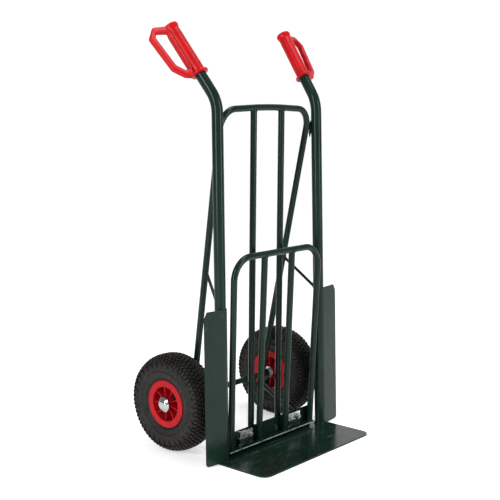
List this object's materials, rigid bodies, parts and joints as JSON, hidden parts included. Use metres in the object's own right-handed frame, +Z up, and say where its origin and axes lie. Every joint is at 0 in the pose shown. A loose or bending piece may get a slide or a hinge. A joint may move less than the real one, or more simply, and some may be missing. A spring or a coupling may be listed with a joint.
{
  "type": "hand truck",
  "caption": "Upright tubular steel hand truck with guarded handles, a flat toe plate, a fold-down load frame hinged at its foot and pneumatic wheels on a through axle.",
  "frame": {"origin": "on the floor under the toe plate, midway between the uprights, close to the folded-up back edge of the plate", "axes": "-Y towards the front edge of the toe plate, +Y towards the wheels, +Z up along the uprights, X along the axle"},
  "size_m": [0.5917, 0.455, 1.1093],
  "materials": {
    "green_paint": "gloss",
    "red_plastic": "gloss",
    "red_rim": "satin",
    "tyre": "matt",
    "rubber": "matt",
    "black_plastic": "matt",
    "white_plastic": "matt",
    "steel": "ground",
    "zinc": "zinc plated",
    "chrome": "polished"
  },
  "bodies": {
    "frame": {"toe_plate": "green_paint", "upright_left": "green_paint", "upright_right": "green_paint", "back_hoop": "green_paint", "back_bar_left": "green_paint", "back_bar_right": "green_paint", "strut_left": "green_paint", "strut_right": "green_paint", "axle": "green_paint", "axle_plate_left": "green_paint", "axle_plate_right": "green_paint", "axle_stay_left": "green_paint", "axle_stay_right": "green_paint", "guard_left": "green_paint", "guard_right": "green_paint", "grip_left": "red_plastic", "grip_right": "red_plastic", "hinge_bracket_left": "zinc", "hinge_bracket_right": "zinc", "hinge_pin_left": "steel", "hinge_pin_right": "steel", "hinge_bolt_left": "zinc", "hinge_bolt_right": "zinc", "hinge_nut_left": "zinc", "hinge_nut_right": "zinc", "inner_washer_left": "zinc", "inner_washer_right": "zinc", "outer_washer_left": "zinc", "outer_washer_right": "zinc", "spacer_collar_left": "zinc", "spacer_collar_right": "zinc", "hub_cap_left": "chrome", "hub_cap_right": "chrome"},
    "fold_frame": {"fold_hoop": "green_paint", "fold_bar_left": "green_paint", "fold_bar_right": "green_paint", "fold_rail": "green_paint", "hinge_leaf_left": "green_paint", "hinge_leaf_right": "green_paint"},
    "wheel_left": {"tyre_left": "tyre", "inner_tube_left": "rubber", "rim_left": "red_rim", "valve_stem_left": "rubber", "valve_cap_left": "black_plastic", "roller_cage_left": "white_plastic", "rollers_left": "steel"},
    "wheel_right": {"tyre_right": "tyre", "inner_tube_right": "rubber", "rim_right": "red_rim", "valve_stem_right": "rubber", "valve_cap_right": "black_plastic", "roller_cage_right": "white_plastic", "rollers_right": "steel"}
  },
  "joints": [
    {"name": "fold", "type": "hinge", "parent": "frame", "child": "fold_frame", "pos_m": [0, -0.005, 0.02025], "axis": [1, 0, 0], "range_deg": [-2, 87.4]},
    {"name": "wheel_left_spin", "type": "hinge", "parent": "frame", "child": "wheel_left", "pos_m": [-0.212, 0.147, 0.13], "axis": [1, 0, 0], "continuous": true},
    {"name": "wheel_right_spin", "type": "hinge", "parent": "frame", "child": "wheel_right", "pos_m": [0.212, 0.147, 0.13], "axis": [1, 0, 0], "continuous": true}
  ]
}
